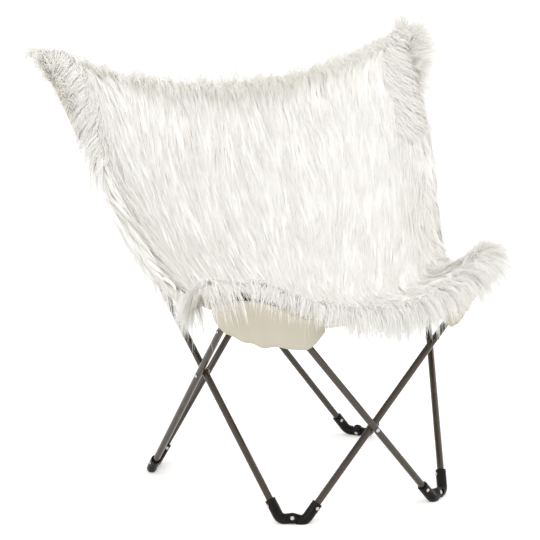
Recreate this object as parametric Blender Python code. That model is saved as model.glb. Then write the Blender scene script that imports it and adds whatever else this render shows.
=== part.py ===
"""Folding butterfly chair: eight tubes in four scissor pairs, hinged at knuckles, with a fur sling.

Metres, +Z up, the sitter faces -Y. The origin is on the floor, under the middle of the chair's box.
"""

import math

import bmesh
import bpy
from mathutils import Matrix, Vector

# Where the tubes' centre lines meet, before the crossing tubes are set side by side
FRONT_FOOT = Vector((0.1877, -0.0236, 0.0))
BACK_FOOT = Vector((0.2651, 0.4782, 0.0))
WING_TIP = Vector((0.4595, 0.5454, 0.945))
HORN_DEPTH = -0.0755
HORN_HEIGHT = 0.5736

# Frame tubes
TUBE_OUTER = 0.0145
TUBE_WALL = 0.001
FIT_GAP = 0.0003
SIDE_GAP = 0.0015
BACK_GAP = 0.003
WING_LAP_GAP = 0.004
TUBE_SIDES = 12

# Foot elbows, with a socket for the tube
SOCKET_OUTER = 0.0222
SOCKET_LEG = 0.046
SOCKET_DEPTH = 0.030
FOOT_ARM = 0.0245
FOOT_DIP = 0.0045
FOOT_BEND = 0.016
FOOT_EYE = 0.0112
FOOT_FACE = 0.0086
EYE_ROOM = 0.0018
FOOT_FLAT = 0.0007
FOOT_RIVET_IN = 0.010
BEND_STEPS = 4

# Top fittings, with a plug for the tube
PLUG_OUTER = TUBE_OUTER - 2 * TUBE_WALL - 2 * FIT_GAP
PLUG_DEPTH = 0.080
PLUG_SHOWS = 0.060
HORN_ARM = 0.038
WING_ARM = 0.014
TOP_BEND = 0.009
TOP_EYE = 0.0082
TOP_FACE = 0.0042
TOP_RIVET_IN = 0.050

# Rivets
PIN_OUTER = 0.005
PIN_HEAD = 0.0085
PIN_DOME = 0.0022
RIVET_OUTER = 0.004
RIVET_HEAD = 0.0075
RIVET_DOME = 0.0018
DIMPLE = 0.0006
DOME_STEPS = ((0.50, 0.35), (0.36, 0.80), (0.17, 1.0))
ROUND_SIDES = 10
SHARP_ANGLE = math.radians(40)

# Sling cover and its four corner pockets
COVER_THICK = 0.012
COVER_CLEAR = 0.012
EDGE_CLEAR = 0.0186
EDGE_OVER = 0.012
WING_TIP_REACH = 0.060
HORN_TIP_REACH = 0.012
COVER_COLUMNS = 24
COVER_ROWS = 18
TOP_EDGE_SAG = 0.105
BACK_HOLLOW = Vector((0.0, 0.480, 0.640))
SEAT_BACK = Vector((0.0, 0.340, 0.420))
# The seat hangs from the horns: how far forward of them and below them its low line and front edge lie
SEAT_LOW_BACK = 0.225
SEAT_LOW_DROP = 0.185
FRONT_EDGE_OUT = 0.045
FRONT_EDGE_DROP = 0.105
ARCH_HALF = 0.100
SIDE_DIP_WIDE = 0.305
SIDE_DIP_BACK = 0.215
SIDE_DIP_DROP = 0.095
CROSS_POWER = 2.0
EDGE_LEAN = 0.6
EDGE_SHARES = (0.72, 0.55)
SIDE_KNOTS = (0.0, 0.09, 0.27, 0.46, 0.66, 0.86, 1.0)
MIDDLE_KNOTS = (0.0, 0.30, 0.55, 0.78, 1.0)
POCKET_THICK = 0.003
POCKET_BULGE = 0.012
POCKET_PIN_SHARE = 0.4
POCKET_STEPS = 8
POCKET_ROUND = 0.25
HORN_POCKET_DEPTH = 0.105
WING_POCKET_DEPTH = 0.150
HORN_POCKET_HALF = 0.100
WING_POCKET_HALF = 0.060

STEEL = ((0.022, 0.019, 0.017, 1.0), 0.28, 0.9)
BRIGHT = ((0.60, 0.60, 0.60, 1.0), 0.30, 1.0)
FUR = ((0.86, 0.84, 0.80, 1.0), 0.95, 0.0)
LINING = ((0.69, 0.64, 0.51, 1.0), 0.90, 0.0)


def clear_scene():
    for item in list(bpy.data.objects):
        bpy.data.objects.remove(item, do_unlink=True)


def finish_of(name, look):
    colour, roughness, metallic = look
    material = bpy.data.materials.new(name)
    material.use_nodes = True
    shader = material.node_tree.nodes["Principled BSDF"]
    shader.inputs["Base Color"].default_value = colour
    shader.inputs["Roughness"].default_value = roughness
    shader.inputs["Metallic"].default_value = metallic
    return material


def frame_matrix(at, along_x, along_y, along_z):
    turn = Matrix((along_x, along_y, along_z)).transposed()
    return Matrix.Translation(at) @ turn.to_4x4()


def frame_on(at, along_z, hint):
    """A frame at a point, with Z along a direction and X as near the hint as it can be."""
    z = along_z.normalized()
    x = (hint - z * hint.dot(z)).normalized()
    return frame_matrix(at, x, z.cross(x), z)


def add_object(name, mesh, place, look, parent):
    item = bpy.data.objects.new(name, mesh)
    bpy.context.collection.objects.link(item)
    mesh.materials.append(finish_of(name + "_finish", look))
    item.parent = parent
    item.matrix_world = place
    mesh.shade_smooth()
    mesh.set_sharp_from_angle(angle=SHARP_ANGLE)
    return item


def add_pivot(name, place, parent):
    pivot = bpy.data.objects.new(name, None)
    bpy.context.collection.objects.link(pivot)
    pivot.parent = parent
    bpy.context.view_layer.update()
    pivot.matrix_world = place
    bpy.context.view_layer.update()
    return pivot


def mesh_of(name, shape):
    bmesh.ops.recalc_face_normals(shape, faces=shape.faces)
    mesh = bpy.data.meshes.new(name)
    shape.to_mesh(mesh)
    shape.free()
    return mesh


def ring(shape, at, across, up, radius, sides):
    steps = [2 * math.pi * k / sides for k in range(sides)]
    return [shape.verts.new(at + radius * (math.cos(t) * across + math.sin(t) * up)) for t in steps]


def bridge(shape, first, second):
    count = len(first)
    for k in range(count):
        following = (k + 1) % count
        shape.faces.new((first[k], first[following], second[following], second[k]))


def lathe(profile, sides):
    """A closed solid turned round Z from (radius, height) pairs that start and end on the axis."""
    shape = bmesh.new()
    east, north = Vector((1, 0, 0)), Vector((0, 1, 0))
    inner = profile[1:-1]
    rings = [ring(shape, Vector((0, 0, height)), east, north, radius, sides) for radius, height in inner]
    for first, second in zip(rings, rings[1:]):
        bridge(shape, first, second)
    for end, last in ((profile[0], rings[0]), (profile[-1], rings[-1])):
        tip = shape.verts.new((0, 0, end[1]))
        for k in range(sides):
            shape.faces.new((tip, last[k], last[(k + 1) % sides]))
    return shape


def rod(start, end, radius, sides=ROUND_SIDES):
    """A plain closed cylinder between two heights on Z."""
    return lathe([(0, start), (radius, start), (radius, end), (0, end)], sides)


def sweep(points, radius, sides):
    """A round bar along points in the XY plane, with flat ends."""
    shape = bmesh.new()
    up = Vector((0, 0, 1))
    rings = []
    for k, at in enumerate(points):
        before = points[max(k - 1, 0)]
        after = points[min(k + 1, len(points) - 1)]
        along = (after - before).normalized()
        rings.append(ring(shape, at, along.cross(up), up, radius, sides))
    for first, second in zip(rings, rings[1:]):
        bridge(shape, first, second)
    shape.faces.new(rings[0])
    shape.faces.new(rings[-1])
    return shape


def bent_path(arm, dip, half_angle, leg, bend):
    """From the pin out along X and down by the dip, round a bend, then along the tube's direction."""
    outward = Vector((math.sin(half_angle), math.cos(half_angle), 0))
    corner = Vector((arm, -dip, 0))
    along = corner.normalized()
    turn = along.angle(outward)
    start = corner - along * bend * math.tan(turn / 2)
    centre = start + bend * Vector((-along.y, along.x, 0))
    arc = [Matrix.Rotation(turn * k / BEND_STEPS, 3, "Z") for k in range(BEND_STEPS + 1)]
    curve = [centre + step @ (start - centre) for step in arc]
    return [Vector((0, 0, 0))] + curve + [corner + leg * outward]


def boolean(item, other, operation):
    """Joins or cuts one object with a plain mesh, at once."""
    tool = bpy.data.objects.new("tool", other)
    bpy.context.collection.objects.link(tool)
    tool.matrix_world = item.matrix_world
    step = item.modifiers.new("step", "BOOLEAN")
    step.operation = operation
    step.solver = "EXACT"
    step.object = tool
    bpy.context.view_layer.update()
    seen = item.evaluated_get(bpy.context.evaluated_depsgraph_get())
    result = bpy.data.meshes.new_from_object(seen)
    item.modifiers.clear()
    item.data = result
    bpy.data.objects.remove(tool, do_unlink=True)


def moved(shape, place):
    bmesh.ops.transform(shape, matrix=place, verts=shape.verts)
    return shape


def rivet_mesh(name, low, high, shank, head, dome, both):
    """A domed rivet on Z: shank from low to high, a head above high and, if both, one below low."""
    rise = [(0.5, 0.0), *DOME_STEPS]
    top = [(shank / 2, high)] + [(head * wide, high + dome * up) for wide, up in rise]
    top.append((0, high + dome - DIMPLE))
    bottom = [(0, low), (shank / 2, low)]
    if both:
        bottom = [(0, low - dome + DIMPLE)] + [(head * wide, low - dome * up) for wide, up in reversed(rise)]
        bottom.append((shank / 2, low))
    return mesh_of(name, lathe(bottom + top, ROUND_SIDES))


def crossing(first, second):
    """The nearest points of two lines, each a start and a direction."""
    p, u = first
    q, v = second
    w = p - q
    b, d, e = u.dot(v), u.dot(w), v.dot(w)
    spread = 1 - b * b
    s = (b * e - d) / spread
    t = (e - b * d) / spread
    return p + u * s, q + v * t


def mirrored(point):
    return Vector((-point.x, point.y, point.z))


def frame_lines():
    """The eight tubes' centre lines as (lower end, upper end), with crossing tubes set side by side."""
    side = Vector(((TUBE_OUTER + SIDE_GAP) / 2, 0, 0))
    fore = Vector((0, (TUBE_OUTER + SIDE_GAP) / 2, 0))
    aft = Vector((0, (TUBE_OUTER + BACK_GAP) / 2, 0))
    # The side tubes of one side lie in one plane, which sets how wide the horns are
    plane = (WING_TIP - FRONT_FOOT).cross(BACK_FOOT - FRONT_FOOT)
    away = plane.y * (HORN_DEPTH - FRONT_FOOT.y) + plane.z * (HORN_HEIGHT - FRONT_FOOT.z)
    horn = Vector((FRONT_FOOT.x - away / plane.x, HORN_DEPTH, HORN_HEIGHT))
    foot_l, foot_r = mirrored(FRONT_FOOT) + side + fore, FRONT_FOOT - side - fore
    heel_l, heel_r = mirrored(BACK_FOOT) - side + aft, BACK_FOOT + side - aft
    horn_l, horn_r = mirrored(horn) - side - fore, horn + side + fore
    wing_l, wing_r = mirrored(WING_TIP) + side - aft, WING_TIP - side + aft
    lap_l = (wing_l - foot_l).cross(wing_l - heel_r).normalized()
    lap_r = (wing_r - heel_l).cross(wing_r - foot_r).normalized()
    lap = TUBE_OUTER + WING_LAP_GAP
    return {
        "tall_left": (foot_l, wing_l),
        "tall_right": (foot_r, wing_r),
        "low_left": (heel_l, horn_l),
        "low_right": (heel_r, horn_r),
        "front_left": (foot_l, horn_r),
        "front_right": (foot_r, horn_l),
        "back_left": (heel_l, wing_r + lap_r * lap),
        "back_right": (heel_r, wing_l + lap_l * lap),
    }


class Knuckle:
    """Where two tubes' ends are pinned: a frame for each fitting, and what they share."""

    def __init__(self, lines, first, second, arm, dip, at_top, side):
        sign = -1 if at_top else 1
        self.names = (first, second)
        ways = [sign * (lines[name][1] - lines[name][0]).normalized() for name in self.names]
        starts = [lines[name][1 if at_top else 0] for name in self.names]
        apexes = crossing((starts[0], ways[0]), (starts[1], ways[1]))
        self.inward = (ways[0] + ways[1]).normalized()
        self.outward = (ways[0] - ways[1]).normalized()
        self.axis = self.outward.cross(self.inward)
        self.half_angle = ways[0].angle(ways[1]) / 2
        self.arm = arm
        self.dip = dip
        self.to_bend = arm / math.sin(self.half_angle)
        self.apexes = dict(zip(self.names, apexes))
        self.side = side
        self.face = TOP_FACE if at_top else FOOT_FACE
        self.lap = abs((apexes[1] - apexes[0]).dot(self.axis)) / 2 - FIT_GAP / 2
        rise = self.inward * (arm / math.tan(self.half_angle) + dip)
        self.pin = (apexes[0] + apexes[1]) / 2 + rise
        self.places = {
            first: frame_matrix(apexes[0] + rise, self.outward, self.inward, self.axis),
            second: frame_matrix(apexes[1] + rise, -self.outward, self.inward, -self.axis),
        }


def make_knuckles(lines):
    """Every tube's knuckle at its foot and at its top."""
    feet = [("tall_left", "front_left"), ("tall_right", "front_right")]
    heels = [("low_left", "back_left"), ("low_right", "back_right")]
    wings = [("tall_left", "back_right", 1), ("tall_right", "back_left", -1)]
    horns = [("low_left", "front_right", -1), ("low_right", "front_left", 1)]
    found = {}
    for first, second in feet + heels:
        knuckle = Knuckle(lines, first, second, FOOT_ARM, FOOT_DIP, False, 1)
        found[first, "foot"] = found[second, "foot"] = knuckle
    for arm, tops in ((WING_ARM, wings), (HORN_ARM, horns)):
        for first, second, side in tops:
            knuckle = Knuckle(lines, first, second, arm, 0, True, side)
            found[first, "top"] = found[second, "top"] = knuckle
    return found


class Cross:
    """Where two tubes of a scissor pair cross."""

    def __init__(self, lines, first, second):
        ways = [(lines[name][1] - lines[name][0]).normalized() for name in (first, second)]
        near = crossing((lines[first][0], ways[0]), (lines[second][0], ways[1]))
        self.names = (first, second)
        self.points = dict(zip(self.names, near))
        self.middle = (near[0] + near[1]) / 2
        self.axis = (near[1] - near[0]).normalized()
        self.apart = (near[1] - near[0]).length


def hollow_tube(start, stop):
    """A tube on Z, open at both ends."""
    shape = bmesh.new()
    east, north = Vector((1, 0, 0)), Vector((0, 1, 0))
    outer, inner = TUBE_OUTER / 2, TUBE_OUTER / 2 - TUBE_WALL
    stops = ((start, outer), (stop, outer), (stop, inner), (start, inner))
    rings = [ring(shape, Vector((0, 0, z)), east, north, radius, TUBE_SIDES) for z, radius in stops]
    for first, second in zip(rings, rings[1:] + rings[:1]):
        bridge(shape, first, second)
    return shape


def make_tube(name, lines, knuckles, cross, parent):
    """A tube with a bore for its scissor rivet and a hole for the rivet of each fitting."""
    low = lines[name][0]
    along = (lines[name][1] - low).normalized()
    foot, top = knuckles[name, "foot"], knuckles[name, "top"]
    mouth = (foot.apexes[name] - low).dot(along) + foot.to_bend + SOCKET_LEG
    stop = (top.apexes[name] - low).dot(along) - top.to_bend - PLUG_SHOWS
    place = frame_on(low, along, cross.axis)
    shape = hollow_tube(mouth - SOCKET_DEPTH + FIT_GAP, stop)
    item = add_object(name + "_tube", mesh_of(name, shape), place, STEEL, parent)
    at_cross = frame_on(cross.points[name], cross.axis, along)
    bore = rod(-TUBE_OUTER, TUBE_OUTER, PIN_OUTER / 2 + FIT_GAP)
    boolean(item, mesh_of("tool", moved(bore, place.inverted() @ at_cross)), "DIFFERENCE")
    for far in (mouth - FOOT_RIVET_IN, stop - TOP_RIVET_IN):
        at = frame_on(low + along * far, rivet_way(name, along), along)
        hole = rod(0, TUBE_OUTER, RIVET_OUTER / 2 + FIT_GAP)
        boolean(item, mesh_of("tool", moved(hole, place.inverted() @ at)), "DIFFERENCE")


def outer_way(knuckle):
    """The knuckle's axis, out from the chair's middle."""
    outside = knuckle.pin - Vector((0, BACK_FOOT.y / 2, knuckle.pin.z))
    return knuckle.axis if knuckle.axis.dot(outside) > 0 else -knuckle.axis


def rivet_way(name, along):
    """The way that the heads of a tube's rivets face: to the left, or forward on the front and back."""
    way = Vector((-1, 0, 0)) if name.startswith(("tall", "low")) else Vector((0, -1, 0))
    return (way - along * way.dot(along)).normalized()


def foot_floor(knuckles):
    """The floor's height, a little into the lowest bend of each foot."""
    lowest = []
    for (name, end), knuckle in knuckles.items():
        if end == "foot":
            path = bent_path(knuckle.arm, knuckle.dip, knuckle.half_angle, SOCKET_LEG, FOOT_BEND)
            lowest.append(min((knuckle.places[name] @ point).z for point in path))
    return max(lowest) - SOCKET_OUTER / 2 + FOOT_FLAT


def make_fitting(name, end, knuckle, parent, floor):
    """An elbow with a lapped eye on its pin; a foot has a socket and a top fitting a plug."""
    foot = end == "foot"
    thick = SOCKET_OUTER if foot else PLUG_OUTER
    eye = FOOT_EYE if foot else TOP_EYE
    leg = SOCKET_LEG if foot else PLUG_SHOWS + PLUG_DEPTH
    path = bent_path(knuckle.arm, knuckle.dip, knuckle.half_angle, leg, FOOT_BEND if foot else TOP_BEND)
    place = knuckle.places[name]
    bar = mesh_of(name, sweep(path, thick / 2, TUBE_SIDES))
    item = add_object(f"{name}_{end}_elbow", bar, place, STEEL, parent)
    flip = Matrix.Scale(-knuckle.side, 4, Vector((0, 0, 1)))
    # A disc rounds the bar's end, which is then cut to the lap on one side and flat on the other
    disc = moved(rod(-knuckle.lap - thick, thick, eye, TUBE_SIDES), flip)
    boolean(item, mesh_of("tool", disc), "UNION")
    if foot:
        ground = rod(-SOCKET_OUTER, 0, 2 * (FOOT_ARM + SOCKET_LEG), 4)
        level = Matrix.Translation((knuckle.pin.x, knuckle.pin.y, floor))
        boolean(item, mesh_of("tool", moved(ground, place.inverted() @ level)), "DIFFERENCE")
    # The other fitting's eye turns in this room, so its flats clear that eye's corners
    clear = eye / math.cos(math.pi / TUBE_SIDES) + EYE_ROOM
    for low, high in ((-knuckle.lap - 2 * thick, -knuckle.lap), (knuckle.face, 2 * thick)):
        room = moved(rod(low, high, clear, TUBE_SIDES), flip)
        boolean(item, mesh_of("tool", room), "DIFFERENCE")
    if foot or name == knuckle.names[0]:
        bore = rod(-2 * thick, 2 * thick, PIN_OUTER / 2 + FIT_GAP)
        boolean(item, mesh_of("tool", bore), "DIFFERENCE")
    outward = (path[-1] - path[-2]).normalized()
    if foot:
        socket = rod(-SOCKET_DEPTH, SOCKET_DEPTH, TUBE_OUTER / 2 + FIT_GAP, TUBE_SIDES)
        mouth = frame_on(path[-1], outward, Vector((0, 0, 1)))
        boolean(item, mesh_of("tool", moved(socket, mouth)), "DIFFERENCE")
    inset = FOOT_RIVET_IN if foot else PLUG_DEPTH - TOP_RIVET_IN
    turn = place.to_3x3()
    way = turn.transposed() @ rivet_way(name, turn @ outward)
    drill = frame_on(path[-1] - outward * inset, way, outward)
    hole = rod(0, SOCKET_OUTER, RIVET_OUTER / 2 + FIT_GAP)
    boolean(item, mesh_of("tool", moved(hole, drill)), "DIFFERENCE")
    seat = (SOCKET_OUTER if foot else TUBE_OUTER) / 2 + FIT_GAP
    depth = TUBE_OUTER / 2 - TUBE_WALL if foot else PLUG_OUTER / 4
    rivet = f"{name}_{end}_rivet"
    mesh = rivet_mesh(rivet, depth, seat, RIVET_OUTER, RIVET_HEAD, RIVET_DOME, False)
    add_object(rivet, mesh, place @ drill, BRIGHT, parent)


def make_pin(name, place, low, high, both, parent):
    mesh = rivet_mesh(name, low, high, PIN_OUTER, PIN_HEAD, PIN_DOME, both)
    add_object(name, mesh, place, BRIGHT, parent)


def smooth_curve(knots, points, at):
    """A curve through points at rising knots, with a slope at each from its neighbours."""
    last = len(knots) - 1
    k = min(sum(at > knot for knot in knots[1:-1]), last - 1)

    def slope(n):
        before, after = max(n - 1, 0), min(n + 1, last)
        return (points[after] - points[before]) / (knots[after] - knots[before])

    width = knots[k + 1] - knots[k]
    t = (at - knots[k]) / width
    start = points[k] * (2 * t**3 - 3 * t**2 + 1) + slope(k) * width * (t**3 - 2 * t**2 + t)
    return start + points[k + 1] * (3 * t**2 - 2 * t**3) + slope(k + 1) * width * (t**3 - t**2)


def cover_side(lines, wing, horn, tall):
    """The points down one side edge of the cover, from its wing tip to its horn."""
    middle = Vector((0, BACK_FOOT.y / 2, WING_TIP.z))
    insides = []
    for knuckle in (wing, horn):
        inner = knuckle.axis if knuckle.axis.dot(middle - knuckle.pin) > 0 else -knuckle.axis
        insides.append(inner * (knuckle.lap + PLUG_OUTER / 2 + PIN_DOME + COVER_CLEAR + COVER_THICK / 2))
    low, high = lines[tall]
    along = (high - low).normalized()
    front = Vector((0, -1, EDGE_LEAN))
    away = (front - along * front.dot(along)).normalized()
    past = Vector((math.copysign(EDGE_OVER, high.x), 0, 0))
    off = away * (TUBE_OUTER / 2 + EDGE_CLEAR + COVER_THICK / 2) + past
    on_tube = [low.lerp(high, share) + off for share in EDGE_SHARES]
    dip = Vector((SIDE_DIP_WIDE, HORN_DEPTH + SIDE_DIP_BACK, HORN_HEIGHT - SIDE_DIP_DROP))
    dip = dip if high.x > 0 else mirrored(dip)
    low_tube = horn.outward if horn.names[0].startswith("low") else -horn.outward
    corner = horn.pin + low_tube * ARCH_HALF + insides[1]
    tip = wing.pin - wing.inward * WING_TIP_REACH + past
    end = horn.pin - horn.inward * HORN_TIP_REACH + insides[1]
    return [tip, wing.pin + insides[0] + past, *on_tube, dip, corner, end]


def make_cover(lines, knuckles, parent):
    """The sling with its fur: a thick sheet through both wing tips and both horns."""
    left = cover_side(lines, knuckles["tall_left", "top"], knuckles["low_left", "top"], "tall_left")
    right = cover_side(lines, knuckles["tall_right", "top"], knuckles["low_right", "top"], "tall_right")
    top = (left[0] + right[0]) / 2 - Vector((0, 0, TOP_EDGE_SAG))
    seat_low = Vector((0, HORN_DEPTH + SEAT_LOW_BACK, HORN_HEIGHT - SEAT_LOW_DROP))
    front_edge = Vector((0, HORN_DEPTH - FRONT_EDGE_OUT, HORN_HEIGHT - FRONT_EDGE_DROP))
    middle = [top, BACK_HOLLOW, SEAT_BACK, seat_low, front_edge]
    shape = bmesh.new()
    rows = []
    for r in range(COVER_ROWS + 1):
        v = r / COVER_ROWS
        centre = smooth_curve(MIDDLE_KNOTS, middle, v)
        row = []
        for c in range(COVER_COLUMNS + 1):
            u = 2 * c / COVER_COLUMNS - 1
            edge = smooth_curve(SIDE_KNOTS, left if u < 0 else right, v)
            share = abs(u) ** CROSS_POWER
            at = centre.lerp(edge, share)
            at.x = edge.x * abs(u)
            row.append(shape.verts.new(at))
        rows.append(row)
    for first, second in zip(rows, rows[1:]):
        for c in range(COVER_COLUMNS):
            shape.faces.new((first[c], second[c], second[c + 1], first[c + 1]))
    item = add_object("sling_cover", mesh_of("sling_cover", shape), Matrix(), FUR, parent)
    solid = item.modifiers.new("pile", "SOLIDIFY")
    solid.thickness = COVER_THICK
    solid.offset = 0


def make_pocket(name, knuckle, half, depth, reach, parent):
    """A lining patch that hooks over a knuckle from outside and below."""
    out = outer_way(knuckle)
    off = knuckle.lap + knuckle.face + PIN_DOME + 2 * FIT_GAP + POCKET_THICK / 2
    shape = bmesh.new()
    rows = []
    for r in range(POCKET_STEPS // 2 + 1):
        t = 2 * r / POCKET_STEPS
        row = []
        for c in range(POCKET_STEPS + 1):
            s = 2 * c / POCKET_STEPS - 1
            down = -reach * (1 - s * s) + depth * t * (1 - POCKET_ROUND * s * s)
            bulge = POCKET_BULGE * (1 - s**4) * max(0, t - POCKET_PIN_SHARE)
            at = knuckle.pin + knuckle.outward * (half * s) + knuckle.inward * down + out * (off + bulge)
            row.append(shape.verts.new(at))
        rows.append(row)
    for first, second in zip(rows, rows[1:]):
        for c in range(POCKET_STEPS):
            shape.faces.new((first[c], second[c], second[c + 1], first[c + 1]))
    item = add_object(name, mesh_of(name, shape), Matrix(), LINING, parent)
    solid = item.modifiers.new("cloth", "SOLIDIFY")
    solid.thickness = POCKET_THICK
    solid.offset = 0


def make_bodies(knuckles, crosses, root):
    """A pivot for each tube, on the axis about which it folds, under the tube that carries it."""
    front, left, right = crosses["front"], crosses["left"], crosses["right"]
    chain = [
        ("front_left", None, front.middle, front.axis),
        ("front_right", None, front.middle, front.axis),
        ("tall_left", "front_left", knuckles["tall_left", "foot"].pin, knuckles["tall_left", "foot"].axis),
        ("tall_right", "front_right", knuckles["tall_right", "foot"].pin, knuckles["tall_right", "foot"].axis),
        ("low_left", "tall_left", left.middle, left.axis),
        ("low_right", "tall_right", right.middle, right.axis),
        ("back_left", "low_left", knuckles["back_left", "foot"].pin, knuckles["back_left", "foot"].axis),
        ("back_right", "low_right", knuckles["back_right", "foot"].pin, knuckles["back_right", "foot"].axis),
    ]
    pivots = {}
    for name, carrier, at, axis in chain:
        place = frame_on(at, axis, Vector((0, 0, 1)))
        pivots[name] = add_pivot(name + "_pivot", place, pivots.get(carrier, root))
    return pivots


def main():
    clear_scene()
    lines = frame_lines()
    knuckles = make_knuckles(lines)
    pairs = ("tall_left", "low_left"), ("tall_right", "low_right")
    pairs += ("front_left", "front_right"), ("back_left", "back_right")
    crosses = {key: Cross(lines, *pair) for key, pair in zip(("left", "right", "front", "back"), pairs)}
    root = add_pivot("chair", Matrix(), None)
    pivots = make_bodies(knuckles, crosses, root)
    floor = foot_floor(knuckles)
    for cross in crosses.values():
        for name in cross.names:
            make_tube(name, lines, knuckles, cross, pivots[name])
    for name in lines:
        for end in ("foot", "top"):
            make_fitting(name, end, knuckles[name, end], pivots[name], floor)
    half = FOOT_FACE + FIT_GAP
    for key, tube in (("front_left", "tall_left"), ("front_right", "tall_right")):
        pin = knuckles[tube, "foot"]
        make_pin(f"{key}_foot_pin", pin.places[tube], -half, half, True, pivots[tube])
    for key, tube in (("back_left", "low_left"), ("back_right", "low_right")):
        pin = knuckles[tube, "foot"]
        make_pin(f"{key}_foot_pin", pin.places[tube], -half, half, True, pivots[tube])
    for key, tube in (("left", "tall_left"), ("right", "tall_right"), ("front", None)):
        cross = crosses[key]
        reach = cross.apart / 2 + TUBE_OUTER / 2 + FIT_GAP
        place = frame_on(cross.middle, cross.axis, Vector((0, 0, 1)))
        make_pin(f"{key}_cross_rivet", place, -reach, reach, True, pivots.get(tube, root))
    reach = TUBE_OUTER / 2 + FIT_GAP
    for name, sign in zip(crosses["back"].names, (-1, 1)):
        cross = crosses["back"]
        place = frame_on(cross.points[name], cross.axis * sign, Vector((0, 0, 1)))
        make_pin(f"{name}_cross_rivet", place, -TUBE_OUTER / 2, reach, False, pivots[name])
    for name in ("tall_left", "tall_right", "low_left", "low_right"):
        knuckle = knuckles[name, "top"]
        place = knuckle.places[name] @ Matrix.Rotation(math.pi if knuckle.side > 0 else 0, 4, "X")
        head = TOP_FACE + FIT_GAP
        make_pin(f"{name}_top_pin", place, FIT_GAP - knuckle.lap, head, False, pivots[name])
        wing = name.startswith("tall")
        size = HORN_POCKET_HALF, HORN_POCKET_DEPTH, HORN_TIP_REACH
        if wing:
            size = WING_POCKET_HALF, WING_POCKET_DEPTH, WING_TIP_REACH
        corner = ("wing" if wing else "horn") + name[name.index("_") :]
        make_pocket(f"{corner}_pocket", knuckle, *size, root)
    make_cover(lines, knuckles, root)
    bpy.context.view_layer.update()
    stand_on_floor(root, floor)


def stand_on_floor(root, floor):
    """Moves the whole chair so that the origin is on the floor under the middle of its box."""
    seen = bpy.context.evaluated_depsgraph_get()
    low, high = Vector((9, 9, 9)), Vector((-9, -9, -9))
    for item in bpy.data.objects:
        if item.type == "MESH":
            shape = item.evaluated_get(seen)
            for corner in (shape.matrix_world @ point.co for point in shape.data.vertices):
                low = Vector(map(min, low, corner))
                high = Vector(map(max, high, corner))
    middle = (low + high) / 2
    root.location = (-middle.x, -middle.y, -floor)
    bpy.context.view_layer.update()


main()
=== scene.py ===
"""Looks of the folding butterfly chair: fur sling, lining, pockets and the dark tube frame."""

import math

import bpy
import numpy as np
from mathutils import Matrix, Vector


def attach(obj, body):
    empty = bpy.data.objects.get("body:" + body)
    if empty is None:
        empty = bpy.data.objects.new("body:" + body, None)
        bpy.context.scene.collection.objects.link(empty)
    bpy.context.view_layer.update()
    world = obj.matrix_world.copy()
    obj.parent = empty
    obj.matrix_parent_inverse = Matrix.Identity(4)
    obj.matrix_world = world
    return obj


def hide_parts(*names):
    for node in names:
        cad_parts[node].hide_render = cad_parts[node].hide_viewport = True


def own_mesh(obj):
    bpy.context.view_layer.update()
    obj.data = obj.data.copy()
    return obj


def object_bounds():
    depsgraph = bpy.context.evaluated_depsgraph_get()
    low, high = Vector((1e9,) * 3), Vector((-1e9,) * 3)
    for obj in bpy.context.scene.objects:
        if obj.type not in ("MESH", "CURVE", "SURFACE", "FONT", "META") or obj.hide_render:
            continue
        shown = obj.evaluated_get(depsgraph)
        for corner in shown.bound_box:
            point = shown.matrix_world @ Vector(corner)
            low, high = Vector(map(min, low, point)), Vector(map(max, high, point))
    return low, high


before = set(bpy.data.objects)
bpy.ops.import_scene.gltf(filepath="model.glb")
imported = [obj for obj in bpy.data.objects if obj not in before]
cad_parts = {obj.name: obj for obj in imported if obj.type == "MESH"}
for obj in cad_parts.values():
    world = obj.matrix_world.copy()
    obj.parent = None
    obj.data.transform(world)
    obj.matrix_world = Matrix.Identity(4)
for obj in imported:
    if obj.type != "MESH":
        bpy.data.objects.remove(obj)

cad_low, cad_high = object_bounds()
rng = np.random.default_rng(7)

# The sling's edges from wing tip to horn, and its middle line from the top edge to the front edge
LEFT = [(-0.4631, 0.3019, 0.9290), (-0.4141, 0.2652, 0.8959), (-0.3874, 0.1218, 0.6654),
        (-0.3412, 0.0279, 0.5047), (-0.3051, -0.0933, 0.4475), (-0.3233, -0.1966, 0.5001),
        (-0.2589, -0.2740, 0.5035)]
RIGHT = [(0.4634, 0.3203, 0.9304), (0.4140, 0.2837, 0.8979), (0.3874, 0.1303, 0.6661),
         (0.3412, 0.0307, 0.5054), (0.3049, -0.0933, 0.4475), (0.3241, -0.1813, 0.4954),
         (0.2584, -0.2574, 0.5011)]
MIDDLE = [(0.0, 0.3111, 0.8247), (0.0, 0.2472, 0.6089), (0.0, 0.1072, 0.3889),
          (0.0, -0.0833, 0.3575), (0.0, -0.3533, 0.4375)]
SIDE_KNOTS = (0.0, 0.09, 0.27, 0.46, 0.66, 0.86, 1.0)
MIDDLE_KNOTS = (0.0, 0.30, 0.55, 0.78, 1.0)

# The rolled edges: radius and length, the metres in one unit of u and of v, and how far u and v reach
ROLL, ROLL_LONG = 0.010, 0.024
ACROSS, DOWN = 0.45, 1.0
REACH_U, REACH_V = 1 + ROLL_LONG / ACROSS, ROLL_LONG / DOWN

# The v of the seam between back and seat, and the hide's thickness, fur height and grid
SEAM = 0.60
HIDE_THICK, HIDE_TOP = 0.003, 0.0016
HIDE_COLUMNS, BACK_ROWS, SEAT_ROWS = 45, 61, 47

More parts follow.
